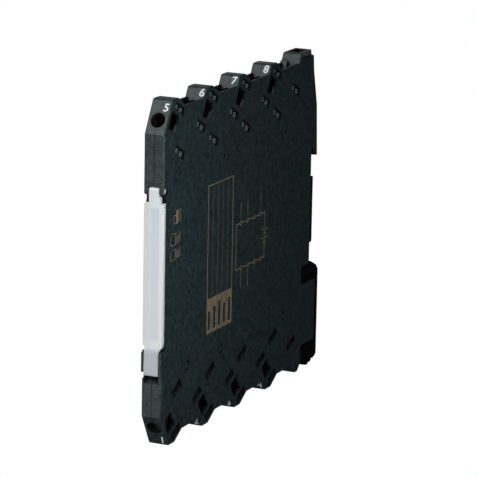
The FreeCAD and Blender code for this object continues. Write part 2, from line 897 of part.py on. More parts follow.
def bobbin():
    """Plastic bobbin with two end flanges and a middle flange."""
    half_x = core_middle_width / 2 + core_gap
    half_z = core_middle_leg / 2 + core_gap
    reach_x = core_right - core_x - core_gap - half_x
    reach_z = core_half_height - core_leg - 0.3 - half_z
    middle = sum(bobbin_span) / 2
    shapes = [tube(half_x, half_z, bobbin_wall, bobbin_wall, bobbin_span)]
    for start in (bobbin_span[0], middle - flange_wall / 2, bobbin_span[1] - flange_wall):
        shapes.append(tube(half_x, half_z, reach_x, reach_z, (start, start + flange_wall)))
    return fuse(shapes)


def winding(y_low, y_high):
    """Copper winding between two flanges of the bobbin."""
    half_x = core_middle_width / 2 + core_gap + bobbin_wall
    half_z = core_middle_leg / 2 + core_gap + bobbin_wall
    reach_x = core_right - core_x - 2 * core_gap - half_x
    reach_z = core_half_height - core_leg - 0.5 - half_z
    return tube(half_x, half_z, reach_x, reach_z, (y_low, y_high))


def chip(back, z, size, leads):
    """Moulded package with gull wing leads along its two long sides."""
    length, width, height = size
    y = front_y + back
    half = width / 2
    z_body = (z - length / 2, z + length / 2)
    shapes = [block((board_face + 0.1, board_face + height), (y - half, y + half), z_body)]
    pitch = length / leads
    arm_x = (board_face + lead_height - lead_thickness, board_face + lead_height)
    for i in range(leads):
        middle = z - length / 2 + pitch * (i + 0.5)
        z_span = (middle - lead_width / 2, middle + lead_width / 2)
        for sign in (1, -1):
            near = y + sign * (half - 0.2)
            knee = y + sign * (half + lead_reach / 2)
            toe = y + sign * (half + lead_reach)
            leg_y = (knee - sign * lead_thickness, knee)
            shapes.append(block(arm_x, (near, knee), z_span))
            shapes.append(block((board_face, arm_x[1]), leg_y, z_span))
            shapes.append(block((board_face, board_face + lead_thickness), (leg_y[0], toe), z_span))
    return fuse(shapes)


def moulded_block(back, z, size):
    """Moulded part with a bevelled top and wrapped end tabs."""
    length, width, height = size
    y = front_y + back
    y_body = (y - width / 2, y + width / 2)
    body = block((board_face, board_face + height), y_body, (z - length / 2, z + length / 2))
    top = [e for e in body.Edges if e.BoundBox.XMin > board_face + height - 0.01]
    shapes = [body.makeChamfer(0.3, top)]
    for sign in (1, -1):
        z_tab = (z + sign * (length / 2 - 0.1), z + sign * (length / 2 + 0.15))
        y_tab = (y - width * 0.28, y + width * 0.28)
        shapes.append(block((board_face, board_face + height / 2), y_tab, z_tab))
    return fuse(shapes)


def small_parts(places, size):
    """Group of equal chip parts lying on the board."""
    length, width, height = size
    solids = []
    for back, z in places:
        y = front_y + back
        y_span = (y - width / 2, y + width / 2)
        solids.append(block((board_face, board_face + height), y_span, (z - length / 2, z + length / 2)))
    return Part.makeCompound(solids)


def diodes():
    """Pair of rectifier diodes in moulded cases."""
    return Part.makeCompound([moulded_block(back, z, diode_body) for back, z in diode_places])


def choke():
    """Square power choke with a round drum on its base."""
    y = front_y + choke_place[0]
    z = choke_place[1]
    half = choke_size / 2
    base_height = 0.6
    base = block((board_face, board_face + base_height), (y - half, y + half), (z - half, z + half))
    foot = FreeCAD.Vector(board_face + base_height / 2, y, z)
    drum = Part.makeCylinder(half - 0.1, choke_height - base_height / 2, foot, x_axis)
    return fuse([base, drum])


def build():
    """Every node of the assembly by name."""
    middle = sum(bobbin_span) / 2
    parts = {
        "right_shell": right_shell(),
        "left_shell": left_shell(),
        "front_cover": front_cover(),
        "rail_slider": rail_slider(),
        "slider_spring": slider_spring(),
        "rail_key": rail_key(),
        "circuit_board": circuit_board(),
        "zero_trimmer": trimmer_body(zero_z),
        "span_trimmer": trimmer_body(span_z),
        "zero_screw": trimmer_screw(zero_z),
        "span_screw": trimmer_screw(span_z),
        "power_lamp": power_lamp(),
        "core_front_half": core_half(-1),
        "core_rear_half": core_half(1),
        "bobbin": bobbin(),
        "primary_winding": winding(bobbin_span[0] + flange_wall, middle - flange_wall / 2),
        "secondary_winding": winding(middle + flange_wall / 2, bobbin_span[1] - flange_wall),
        "diodes": diodes(),
        "choke": choke(),
        "ceramic_capacitors": small_parts(ceramic_places, ceramic_body),
        "resistors": small_parts(resistor_places, resistor_body),
    }
    for name, place in chip_places.items():
        parts[name] = chip(*place)
    for name, place in capacitor_places.items():
        parts[name] = moulded_block(*place, capacitor_body)
    for side, first in ((-1, 1), (1, 1 + blocks_per_side)):
        for k in range(blocks_per_side):
            parts["current_bar_%d" % (first + k)] = current_bar(k, side)
            parts["clamp_spring_%d" % (first + k)] = clamp_spring(k, side)
    return parts


os.makedirs("parts", exist_ok=True)
for name, shape in build().items():
    shape.exportStep(os.path.join("parts", name + ".step"))
    good = shape.isValid() and all(solid.isClosed() for solid in shape.Solids)
    print(name, len(shape.Solids), "solids", round(shape.Volume, 2), "mm3", "ok" if good else "check")
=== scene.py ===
import math

import bpy
import numpy as np
from mathutils import Matrix, Vector


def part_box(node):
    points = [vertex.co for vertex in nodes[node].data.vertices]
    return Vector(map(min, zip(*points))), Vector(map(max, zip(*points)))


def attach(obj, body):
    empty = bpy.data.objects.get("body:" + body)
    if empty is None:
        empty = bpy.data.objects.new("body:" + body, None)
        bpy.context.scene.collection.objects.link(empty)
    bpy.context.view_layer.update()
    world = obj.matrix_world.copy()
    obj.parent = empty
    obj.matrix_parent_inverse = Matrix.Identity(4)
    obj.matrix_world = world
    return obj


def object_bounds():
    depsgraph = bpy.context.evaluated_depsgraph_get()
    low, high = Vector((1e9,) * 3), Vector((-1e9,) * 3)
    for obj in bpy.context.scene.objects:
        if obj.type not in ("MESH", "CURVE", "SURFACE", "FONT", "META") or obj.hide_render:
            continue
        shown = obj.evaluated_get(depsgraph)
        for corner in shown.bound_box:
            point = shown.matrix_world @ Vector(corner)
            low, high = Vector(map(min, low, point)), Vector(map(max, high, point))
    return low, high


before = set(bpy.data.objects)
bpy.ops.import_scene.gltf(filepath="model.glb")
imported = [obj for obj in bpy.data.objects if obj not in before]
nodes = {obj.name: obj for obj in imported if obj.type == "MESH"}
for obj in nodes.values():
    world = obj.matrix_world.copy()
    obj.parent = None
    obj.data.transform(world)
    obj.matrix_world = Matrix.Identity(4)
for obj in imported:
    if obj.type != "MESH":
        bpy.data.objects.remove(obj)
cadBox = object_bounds()
mm = 0.001

# the device in millimetres: x across the thickness, y 0 at the rail and the front at -y, z up
device = {
    "halfWidth": 2.95,
    "frontY": -95.4,
    "pitch": 20.6,  # from one terminal to the next
    "slantFootZ": 38.5,  # where the slanted faces start, above and below the middle
    "slantDegrees": 28.2,  # how far the slanted faces lean back
}
slantAngle = math.radians(device["slantDegrees"])


def linearColour(hexColour, alpha=1.0):
    # sRGB hex to linear: the piecewise curve, with its toe below 0.04045
    srgb = np.array([int(hexColour[i:i + 2], 16) for i in (1, 3, 5)]) / 255
    linear = np.where(srgb <= 0.04045, srgb / 12.92, ((srgb + 0.055) / 1.055) ** 2.4)
    return (*linear.tolist(), alpha)


def linkInputs(tree, node, links):
    # each link is an output, or a node that gives its first output
    for key, source in links.items():
        output = source.outputs[0] if isinstance(source, bpy.types.Node) else source
        tree.links.new(output, node.inputs[key])


def addNode(tree, kind, settings=None, links=None):
    # settings fill attributes, input sockets by name or number, or a ramp's stops of place and hex colour;
    # a Mix node set to colours takes its factor at 0 and its colours at 6 and 7, and gives its colour at 2
    node = tree.nodes.new(kind)
    for key, value in (settings or {}).items():
        if key == "stops":
            elements = node.color_ramp.elements
            while len(elements) < len(value):
                elements.new(0.5)
            for element, (place, colour) in zip(elements, value):
                element.position = place
                element.color = linearColour(colour)
        elif isinstance(key, str) and hasattr(node, key):
            setattr(node, key, value)
        else:
            node.inputs[key].default_value = value
    linkInputs(tree, node, links or {})
    return node


def newMaterial(name, shaderSettings):
    # gives the tree, its Principled shader and the object coordinates in metres
    material = bpy.data.materials.new(name)
    material.use_nodes = True
    tree = material.node_tree
    shader = tree.nodes["Principled BSDF"]
    for key, value in shaderSettings.items():
        shader.inputs[key].default_value = value
    place = addNode(tree, "ShaderNodeTexCoord")
    return material, tree, shader, place.outputs["Object"]


def grainBump(tree, shader, coords, grainMm, depthMm, strength):
    # moulded or ground grain: noise whose cell is the grain's size, as a bump in metres;
    # the noise is given back, and keeps mostly between 0.3 and 0.7
    noise = addNode(tree, "ShaderNodeTexNoise", {
        "Scale": 1 / (grainMm * mm), "Detail": 3.0,
    }, {"Vector": coords})
    bump = addNode(tree, "ShaderNodeBump", {
        "Strength": strength, "Distance": depthMm * mm,
    }, {"Height": noise})
    linkInputs(tree, shader, {"Normal": bump})
    return noise


# housing: glass filled PBT, injection moulded in a spark eroded tool, which leaves a fine matt grain
housingLook = {
    "colours": [(0.36, "#132226"), (0.64, "#334547")],
    "cloudMm": 1.2,  # size of the faint cloudy patches
    "hollowMm": 2.8,  # painted shade: recesses narrower than this are painted dark, with a brown cast
    "hollowRange": (0.6, 0.88),
    "hollowShadeColour": "#0e0a07",
    "holeRiseMm": 4.0,  # the wire holes' centres, up the slanted faces from their foot
    "holeRadiusMm": (2.15, 2.25),  # where the painted light and shade on a hole's wall ends
    "holeDepthMm": (0.1, 0.4),  # and where it starts, behind the slanted face
    # the walls of the wire holes are painted: brown light reflected from the metal inside in the upper holes,
    # shade in the lower ones
    "lowHolePaintedShade": "#0a0705",
    "highHolePaintedReflection": "#2a1d11",
    "fingerMm": (2.1, 2.6),  # the upper snap fingers end between these, and carry a painted highlight
    "fingerHighlightColour": "#5b676a",
    "deepFingerMm": (0.9, 1.6),  # the lower ones lie deeper, and are painted in shade
    "deepFingerShadeColour": "#090b0c",
    "seamMm": (0.1, 0.16),  # half width of the dark line where the two halves meet, and of its soft edge
    "seamColour": "#0b0e0f",
    "grainMm": 0.3,  # the real grain is near 0.05 mm, drawn coarser so that it shows
    "grainDepthMm": 0.02,
    "grainStrength": 0.6,
    "roughness": (0.44, 0.56),
    "specular": 0.42,
}


def wireHoleWalls(tree, parts, look):
    # gives 1 near a wire hole's axis and behind its slanted face, with y folded back to one pitch and z unsigned
    inward = (0.0, math.cos(slantAngle), -math.sin(slantAngle))
    holeY = (device["frontY"] + look["holeRiseMm"] * math.sin(slantAngle)) * mm
    holeZ = (device["slantFootZ"] + look["holeRiseMm"] * math.cos(slantAngle)) * mm
    reach = device["pitch"] / 2 * mm
    fromHole = addNode(tree, "ShaderNodeMath", {"operation": "SUBTRACT", 1: holeY}, {0: parts.outputs["Y"]})
    folded = addNode(tree, "ShaderNodeMath", {"operation": "WRAP", 1: reach, 2: -reach}, {0: fromHole})
    height = addNode(tree, "ShaderNodeMath", {"operation": "ABSOLUTE"}, {0: parts.outputs["Z"]})
    rise = addNode(tree, "ShaderNodeMath", {"operation": "SUBTRACT", 1: holeZ}, {0: height})
    spot = addNode(tree, "ShaderNodeCombineXYZ", {}, {0: parts.outputs["X"], 1: folded, 2: rise})
    across = addNode(tree, "ShaderNodeVectorMath", {"operation": "CROSS_PRODUCT", 1: inward}, {0: spot})
    radius = addNode(tree, "ShaderNodeVectorMath", {"operation": "LENGTH"}, {0: across})
    depth = addNode(tree, "ShaderNodeVectorMath", {"operation": "DOT_PRODUCT", 1: inward}, {0: spot})
    rim, past = (edge * mm for edge in look["holeRadiusMm"])
    isNear = addNode(tree, "ShaderNodeMapRange", {
        "From Min": rim, "From Max": past, "To Min": 1.0, "To Max": 0.0,
    }, {"Value": radius.outputs["Value"]})
    start, end = (edge * mm for edge in look["holeDepthMm"])
    isBehind = addNode(tree, "ShaderNodeMapRange", {
        "From Min": start, "From Max": end,
    }, {"Value": depth.outputs["Value"]})
    return addNode(tree, "ShaderNodeMath", {"operation": "MULTIPLY"}, {0: isNear, 1: isBehind})


def fingerEnds(tree, parts, isSide, isRow, limits):
    # gives 1 on the snap fingers' ends: they look along x and lie between two depths, in one of the two rows
    inner, outer = (edge * mm for edge in limits)
    above = addNode(tree, "ShaderNodeMath", {"operation": "GREATER_THAN", 1: inner}, {0: parts.outputs["X"]})
    below = addNode(tree, "ShaderNodeMath", {"operation": "LESS_THAN", 1: outer}, {0: parts.outputs["X"]})
    isDeep = addNode(tree, "ShaderNodeMath", {"operation": "MULTIPLY"}, {0: above, 1: below})
    isEnd = addNode(tree, "ShaderNodeMath", {"operation": "MULTIPLY"}, {0: isSide, 1: isDeep})
    return addNode(tree, "ShaderNodeMath", {"operation": "MULTIPLY"}, {0: isEnd, 1: isRow})


def mouldedPbt(name, look):
    material, tree, shader, coords = newMaterial(name, {"IOR": 1.5, "Specular IOR Level": look["specular"]})
    parts = addNode(tree, "ShaderNodeSeparateXYZ", {}, {0: coords})
    cloud = addNode(tree, "ShaderNodeTexNoise", {
        "Scale": 1 / (look["cloudMm"] * mm), "Detail": 6.0, "Roughness": 0.7,
    }, {"Vector": coords})
    plastic = addNode(tree, "ShaderNodeValToRGB", {"stops": look["colours"]}, {"Fac": cloud})
    shut, wide = look["hollowRange"]
    # painted shade: ambient occlusion darkens the plastic towards the hollow shade colour in narrow recesses
    hollow = addNode(tree, "ShaderNodeAmbientOcclusion", {"samples": 8, "Distance": look["hollowMm"] * mm})
    openness = addNode(tree, "ShaderNodeMapRange", {
        "From Min": shut, "From Max": wide,
    }, {"Value": hollow.outputs["AO"]})
    isUpper = addNode(tree, "ShaderNodeMath", {"operation": "GREATER_THAN", 1: 0.0}, {0: parts.outputs["Z"]})
    isLower = addNode(tree, "ShaderNodeMath", {"operation": "SUBTRACT", 0: 1.0}, {1: isUpper})
    facing = addNode(tree, "ShaderNodeSeparateXYZ", {}, {0: coords.node.outputs["Normal"]})
    isSide = addNode(tree, "ShaderNodeMapRange", {
        "From Min": 0.3, "From Max": 0.5,
    }, {"Value": facing.outputs["X"]})
    # painted light and shade for the walls of the wire holes, chosen by row
    paintedHoleWall = addNode(tree, "ShaderNodeMix", {
        "data_type": "RGBA", 6: linearColour(look["lowHolePaintedShade"]), 7: linearColour(look["highHolePaintedReflection"]),
    }, {0: isUpper})
    offSeam = addNode(tree, "ShaderNodeMath", {"operation": "ABSOLUTE"}, {0: parts.outputs["X"]})
    line, edge = (width * mm for width in look["seamMm"])
    isSeam = addNode(tree, "ShaderNodeMapRange", {
        "From Min": line, "From Max": edge, "To Min": 1.0, "To Max": 0.0,
    }, {"Value": offSeam})
    # over the plain colour lie the painted shade of the hollows, the painted highlight and shade of the finger
    # ends, the painted light and shade on the walls of the wire holes, and the seam
    dimmed = addNode(tree, "ShaderNodeMix", {
        "data_type": "RGBA", 6: linearColour(look["hollowShadeColour"]),
    }, {0: openness, 7: plastic})
    colour = dimmed.outputs[2]
    # painted light on the snap finger ends: a highlight on the upper ones, shade on the lower ones
    for isRow, limits, shade in (
        (isUpper, look["fingerMm"], look["fingerHighlightColour"]),
        (isLower, look["deepFingerMm"], look["deepFingerShadeColour"]),
    ):
        isFinger = fingerEnds(tree, parts, isSide, isRow, limits)
        ends = addNode(tree, "ShaderNodeMix", {
            "data_type": "RGBA", 7: linearColour(shade),
        }, {0: isFinger, 6: colour})
        colour = ends.outputs[2]
    isWall = wireHoleWalls(tree, parts, look)
    walls = addNode(tree, "ShaderNodeMix", {
        "data_type": "RGBA",
    }, {0: isWall, 6: colour, 7: paintedHoleWall.outputs[2]})
    seam = addNode(tree, "ShaderNodeMix", {
        "data_type": "RGBA", 7: linearColour(look["seamColour"]),
    }, {0: isSeam, 6: walls.outputs[2]})
    grain = grainBump(tree, shader, coords, look["grainMm"], look["grainDepthMm"], look["grainStrength"])
    smooth, coarse = look["roughness"]
    sheen = addNode(tree, "ShaderNodeMapRange", {
        "From Min": 0.3, "From Max": 0.7, "To Min": smooth, "To Max": coarse,
    }, {"Value": grain})
    rough = addNode(tree, "ShaderNodeMix", {"data_type": "FLOAT", 2: 1.0}, {0: openness, 3: sheen})
    linkInputs(tree, shader, {"Base Color": seam.outputs[2], "Roughness": rough})
    return material


# slider and rail key: the same kind of moulding in black polyamide, with less sheen
sliderLook = dict(housingLook, colours=[(0.3, "#060808"), (0.7, "#0b0d0e")], specular=0.12)

# cover: polycarbonate with a diffusing filler, from a polished tool, milky and a little see-through
coverLook = {
    "base": "#d3e2ec",
    "warm": "#e3ebee",
    "rim": "#e5f0f5",
    "skirt": "#ffffff",
    "tab": "#bccad5",
    "halfMm": 2.95,
    # where each shade starts and ends across the cover: a thin panel between thicker, whiter edges, partly
    # painted light and shade of the cover's facets, with a white band of painted light through the skirt at the
    # far edge
    "bands": [
        (-1.2, "warm"), (-0.9, "rim"), (-0.5, "rim"), (-0.3, "base"),
        (1.6, "base"), (2.1, "rim"), (2.8, "rim"), (2.88, "skirt"),
    ],
    "panelTopMm": (18.4, 19.2),  # the panel fades into the rim between these heights
    "panelFootMm": (-16.4, -18.0),
    "tabTopMm": (-19.2, -20.4),
    "cloudMm": 4.0,  # the bands wander a little, by this size and this much
    "wanderMm": 0.4,
    "roughness": 0.34,
    "transmission": 0.12,
    "scatterMm": 0.8,
    "grainMm": 0.5,
    "grainDepthMm": 0.004,
    "grainStrength": 0.4,
}


def milkyPolycarbonate(name, look):
    material, tree, shader, coords = newMaterial(name, {
        "IOR": 1.58, "Roughness": look["roughness"], "Transmission Weight": look["transmission"],
        "Subsurface Weight": 0.25, "Subsurface Scale": look["scatterMm"] * mm,
        "Subsurface Radius": (0.95, 1.0, 1.0),
    })
    parts = addNode(tree, "ShaderNodeSeparateXYZ", {}, {0: coords})
    cloud = addNode(tree, "ShaderNodeTexNoise", {
        "Scale": 1 / (look["cloudMm"] * mm), "Detail": 2.0,
    }, {"Vector": coords})
    wander = addNode(tree, "ShaderNodeMath", {
        "operation": "MULTIPLY_ADD", 1: look["wanderMm"] * mm,
    }, {0: cloud, 2: parts.outputs["X"]})
    half = look["halfMm"]
    side = addNode(tree, "ShaderNodeMapRange", {
        "From Min": -half * mm, "From Max": half * mm,
    }, {"Value": wander})
    bands = [((x + half) / half / 2, look[shade]) for x, shade in look["bands"]]
    across = addNode(tree, "ShaderNodeValToRGB", {"stops": bands}, {"Fac": side})
    atTop, atFoot, isTab = (
        addNode(tree, "ShaderNodeMapRange", {
            "From Min": start * mm, "From Max": end * mm,
        }, {"Value": parts.outputs["Z"]})
        for start, end in (look["panelTopMm"], look["panelFootMm"], look["tabTopMm"])
    )
    atEnds = addNode(tree, "ShaderNodeMath", {"operation": "MAXIMUM"}, {0: atTop, 1: atFoot})
    panel = addNode(tree, "ShaderNodeMix", {
        "data_type": "RGBA", 7: linearColour(look["rim"]),
    }, {0: atEnds, 6: across})
    whole = addNode(tree, "ShaderNodeMix", {
        "data_type": "RGBA", 7: linearColour(look["tab"]),
    }, {0: isTab, 6: panel.outputs[2]})
    linkInputs(tree, shader, {"Base Color": whole.outputs[2]})
    grainBump(tree, shader, coords, look["grainMm"], look["grainDepthMm"], look["grainStrength"])
    return material


# painted shade on metal: it is painted dark and made less metallic where recesses narrower than this leave it
# little open
recessShadeLook = {
    "recessMm": 3.0,
    "openRange": (0.75, 1.0),
    "metallic": 0.4,
}


def stampedMetal(name, colours, roughness, streakMm, recessShade=None):
    # cold rolled strip: long fine streaks along the rolling direction, with painted shade deep in a recess
    material, tree, shader, coords = newMaterial(name, {"Metallic": 1.0})
    fine, long = 1 / (streakMm * mm), 0.1 / (streakMm * mm)
    streaks = addNode(tree, "ShaderNodeMapping", {"Scale": (fine, long, long)}, {"Vector": coords})
    noise = addNode(tree, "ShaderNodeTexNoise", {"Scale": 1.0, "Detail": 4.0}, {"Vector": streaks})
    strip = addNode(tree, "ShaderNodeValToRGB", {"stops": list(zip((0.3, 0.7), colours))}, {"Fac": noise})
    colour = strip.outputs[0]
    if recessShade:
        shut, wide = recessShadeLook["openRange"]
        hollow = addNode(tree, "ShaderNodeAmbientOcclusion", {
            "samples": 8, "Distance": recessShadeLook["recessMm"] * mm,
        })
        openness = addNode(tree, "ShaderNodeMapRange", {
            "From Min": shut, "From Max": wide,
        }, {"Value": hollow.outputs["AO"]})
        bare = addNode(tree, "ShaderNodeMapRange", {"To Min": recessShadeLook["metallic"]}, {"Value": openness})
        linkInputs(tree, shader, {"Metallic": bare})
        dulled = addNode(tree, "ShaderNodeMix", {
            "data_type": "RGBA", 6: linearColour(recessShade),
        }, {0: openness, 7: colour})
        colour = dulled.outputs[2]
    smooth, coarse = roughness
    sheen = addNode(tree, "ShaderNodeMapRange", {
        "From Min": 0.3, "From Max": 0.7, "To Min": smooth, "To Max": coarse,
    }, {"Value": noise})
    linkInputs(tree, shader, {"Base Color": colour, "Roughness": sheen})
    return material


# circuit board: glass epoxy with green solder resist, under which lighter copper tracks show
boardLook = {
    "resist": ("#0f4a2a", "#0c4225"),
    "track": "#2b7a45",
    "trackMm": 0.4,
    "fieldMm": (6.0, 2.4),  # the green fields between the tracks
    "weaveMm": 0.6,
    "weaveDepthMm": 0.01,
    "roughness": 0.32,
}


def epoxyBoard(name, look):
    material, tree, shader, coords = newMaterial(name, {
        "Roughness": look["roughness"], "Coat Weight": 0.3, "Coat Roughness": 0.15,
    })
    place = addNode(tree, "ShaderNodeMapping", {"Rotation": (0.0, math.pi / 2, 0.0)}, {"Vector": coords})
    tracks = addNode(tree, "ShaderNodeTexBrick", {
        "offset": 0.37, "Scale": 1 / mm, "Mortar Size": look["trackMm"] / 2,
        "Brick Width": look["fieldMm"][0], "Row Height": look["fieldMm"][1],
        "Color1": linearColour(look["resist"][0]), "Color2": linearColour(look["resist"][1]),
        "Mortar": linearColour(look["track"]),
    }, {"Vector": place})
    weave = addNode(tree, "ShaderNodeTexWave", {
        "Scale": 1 / (look["weaveMm"] * mm), "Distortion": 1.0,
    }, {"Vector": coords})
    bump = addNode(tree, "ShaderNodeBump", {
        "Strength": 0.15, "Distance": look["weaveDepthMm"] * mm,
    }, {"Height": weave.outputs["Fac"]})
    linkInputs(tree, shader, {"Base Color": tracks, "Normal": bump})
    return material


def speckled(name, dark, light, grainMm, roughness, depthMm=0.01, settings=None):
    # ceramic, ferrite, epoxy or moulded thermoplastic: two close shades in grains of the real size
    material, tree, shader, coords = newMaterial(name, dict({"Roughness": roughness}, **(settings or {})))
    grain = grainBump(tree, shader, coords, grainMm, depthMm, 0.5)
    shades = addNode(tree, "ShaderNodeValToRGB", {"stops": [(0.35, dark), (0.65, light)]}, {"Fac": grain})
    linkInputs(tree, shader, {"Base Color": shades})
    return material


# windings: enamelled copper wire laid side by side; the shiny bands across the winding are painted sheen, dark
# and light copper in turn, over a bump of the same bands
windingLook = {
    "wireMm": 0.4,  # the real wire is thinner, drawn coarser so that it shows
    "colours": ("#5a2411", "#c06a35"),
    "depthMm": 0.05,
    "roughness": 0.3,
}


def woundWire(name, look):
    # at a scale of 1, a wave texture repeats its bands 20 / (2 pi) times in a metre
    material, tree, shader, coords = newMaterial(name, {
        "Metallic": 0.85, "Roughness": look["roughness"], "Coat Weight": 0.6,
    })
    wave = addNode(tree, "ShaderNodeTexWave", {
        "bands_direction": "Y", "Scale": 2 * math.pi / 20 / (look["wireMm"] * mm),
        "Distortion": 0.4, "Detail": 1.0,
    }, {"Vector": coords})
    shades = addNode(tree, "ShaderNodeValToRGB", {
        "stops": list(zip((0.1, 0.8), look["colours"])),
    }, {"Fac": wave.outputs["Fac"]})
    bump = addNode(tree, "ShaderNodeBump", {
        "Strength": 0.8, "Distance": look["depthMm"] * mm,
    }, {"Height": wave.outputs["Fac"]})
    linkInputs(tree, shader, {"Base Color": shades, "Normal": bump})
    return material


# chips: a body of moulded epoxy, matt and near black, with bright tinned leads
chipLook = {
    "body": ("#17181a", "#232527"),
    "lead": "#c9c6bf",
    "leadMm": 1.0,  # how far the leads reach past the body along y
    "slackMm": 0.02,
    "bodyRoughness": 0.6,
    "leadRoughness": 0.35,
    "grainMm": 0.15,
    "grainDepthMm": 0.008,
    "grainStrength": 0.5,
}


def leadedPackage(name, node, look):
    low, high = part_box(node)
    middle = (low.y + high.y) / 2
    reach = (high.y - low.y) / 2 - look["leadMm"] * mm
    material, tree, shader, coords = newMaterial(name, {})
    parts = addNode(tree, "ShaderNodeSeparateXYZ", {}, {0: coords})
    away = addNode(tree, "ShaderNodeMath", {"operation": "SUBTRACT", 1: middle}, {0: parts.outputs["Y"]})
    size = addNode(tree, "ShaderNodeMath", {"operation": "ABSOLUTE"}, {0: away})
    isLead = addNode(tree, "ShaderNodeMath", {
        "operation": "GREATER_THAN", 1: reach + look["slackMm"] * mm,
    }, {0: size})
    grain = grainBump(tree, shader, coords, look["grainMm"], look["grainDepthMm"], look["grainStrength"])
    epoxy = addNode(tree, "ShaderNodeValToRGB", {
        "stops": list(zip((0.35, 0.65), look["body"])),
    }, {"Fac": grain})
    whole = addNode(tree, "ShaderNodeMix", {
        "data_type": "RGBA", 7: linearColour(look["lead"]),
    }, {0: isLead, 6: epoxy})
    sheen = addNode(tree, "ShaderNodeMapRange", {
        "To Min": look["bodyRoughness"], "To Max": look["leadRoughness"],
    }, {"Value": isLead})
    linkInputs(tree, shader, {"Base Color": whole.outputs[2], "Metallic": isLead, "Roughness": sheen})
    return material


def padInk(name, colours, cloudMm):
    # two part pad printing ink: an even matt film with slightly thin places
    material, tree, shader, coords = newMaterial(name, {"Roughness": 0.55, "Specular IOR Level": 0.3})
    cloud = addNode(tree, "ShaderNodeTexNoise", {
        "Scale": 1 / (cloudMm * mm), "Detail": 5.0,
    }, {"Vector": coords})
    film = addNode(tree, "ShaderNodeValToRGB", {"stops": list(zip((0.35, 0.6), colours))}, {"Fac": cloud})
    linkInputs(tree, shader, {"Base Color": film})
    return material


# metals: two shades, roughness from streak to streak, width of the streaks, and the colour of the painted shade
# in recesses
# grained materials: two shades, size of the grain in millimetres, roughness, and depth of the grain
finishes = {
    "housing": mouldedPbt("mouldedPbtHousing", housingLook),
    "slider": mouldedPbt("mouldedPolyamideSlider", sliderLook),
    "cover": milkyPolycarbonate("milkyPolycarbonate", coverLook),
    # the bar's and clamp's shades are darker than bare metal: partly painted shade of their slots
    "bar": stampedMetal("stampedCopperAlloy", ("#402a1c", "#503626"), (0.35, 0.5), 0.3, "#0a0705"),
    "spring": stampedMetal("rolledSpringSteel", ("#8a8a88", "#a3a3a0"), (0.24, 0.36), 0.25),
    "clamp": stampedMetal("brownTemperedSpringSteel", ("#1b1410", "#241b14"), (0.35, 0.5), 0.25, "#120c08"),
    "brass": stampedMetal("turnedBrass", ("#a8823f", "#c39d57"), (0.25, 0.4), 0.2),
    "board": epoxyBoard("glassEpoxyBoard", boardLook),
    "trimmer": speckled("mouldedBluePlastic", "#1d4a9b", "#2557ab", 0.2, 0.4),
    "lamp": speckled("castGreenEpoxyLens", "#58b561", "#6ccc72", 0.8, 0.15, 0.002, {
        "Transmission Weight": 0.5, "IOR": 1.53,
    }),
    "ferrite": speckled("sinteredFerrite", "#2b2b2e", "#3a3a3d", 0.12, 0.55),
    "bobbin": speckled("mouldedBobbinNylon", "#cfc7ac", "#ddd6bd", 0.25, 0.5),
    "winding": woundWire("enamelledCopperWire", windingLook),
    "tantalum": speckled("mouldedTantalumEpoxy", "#c98a1f", "#dc9c2e", 0.2, 0.45),
    "diode": speckled("mouldedDiodeEpoxy", "#1b1b1d", "#29292b", 0.15, 0.5),
    "ceramic": speckled("firedCeramicChip", "#8a6a4c", "#a5835f", 0.15, 0.35),
    "resistor": speckled("glazedResistorChip", "#131416", "#1f2124", 0.3, 0.3),
}
print("finishes made:", len(finishes))

# which finish each CAD node takes; the chips, which aren't named here, take one of their own
nodeFinish = {
    "left_shell": "housing", "right_shell": "housing", "rail_key": "slider", "rail_slider": "slider",
    "slider_spring": "spring", "front_cover": "cover", "circuit_board": "board", "zero_trimmer": "trimmer",
    "span_trimmer": "trimmer", "zero_screw": "brass", "span_screw": "brass", "power_lamp": "lamp",
    "core_front_half": "ferrite", "core_rear_half": "ferrite", "bobbin": "bobbin",
    "primary_winding": "winding", "secondary_winding": "winding", "input_capacitor": "tantalum",
    "output_capacitor": "tantalum", "diodes": "diode", "choke": "ferrite", "ceramic_capacitors": "ceramic",
    "resistors": "resistor",
}
for number in range(1, 9):
    nodeFinish["current_bar_%d" % number] = "bar"
    nodeFinish["clamp_spring_%d" % number] = "clamp"
for name, node in nodes.items():
    if name in nodeFinish:
        material = finishes[nodeFinish[name]]
    else:
        material = leadedPackage("leaded_" + name, name, chipLook)
    for place in node.material_slots:
        place.material = material
print("finishes given to", len(nodes), "nodes")


def addPiece(name, mesh, material):
    # the object stays at the origin, its place is in its mesh, and it goes with the housing
    piece = bpy.data.objects.new(name, mesh)
    bpy.context.scene.collection.objects.link(piece)
    mesh.materials.clear()
    mesh.materials.append(material)
    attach(piece, "housing")


# print on the side: a film of ink on the plane at +x, in millimetres, with y counted back from the start of the
# print and z up from the middle
inkValues = {
    "startY": -95.0,
    "sinkMm": 0.01,
    "filmMm": 0.03,
    "cloudMm": 1.5,  # size of the thin places in the film
    "whiteCloudMm": 0.8,
    "tan": ("#85745f", "#9b876e"),
    "thinTan": ("#5d5750", "#6d655d"),
    "white": ("#e4e6e4", "#f4f5f3"),
}
filmSpan = (device["halfWidth"] - inkValues["sinkMm"], device["halfWidth"] + inkValues["filmMm"])
tanInk = padInk("tanPadInk", inkValues["tan"], inkValues["cloudMm"])
thinTanInk = padInk("tanPadInkThin", inkValues["thinTan"], inkValues["cloudMm"])
whiteInk = padInk("whitePadInk", inkValues["white"], inkValues["whiteCloudMm"])


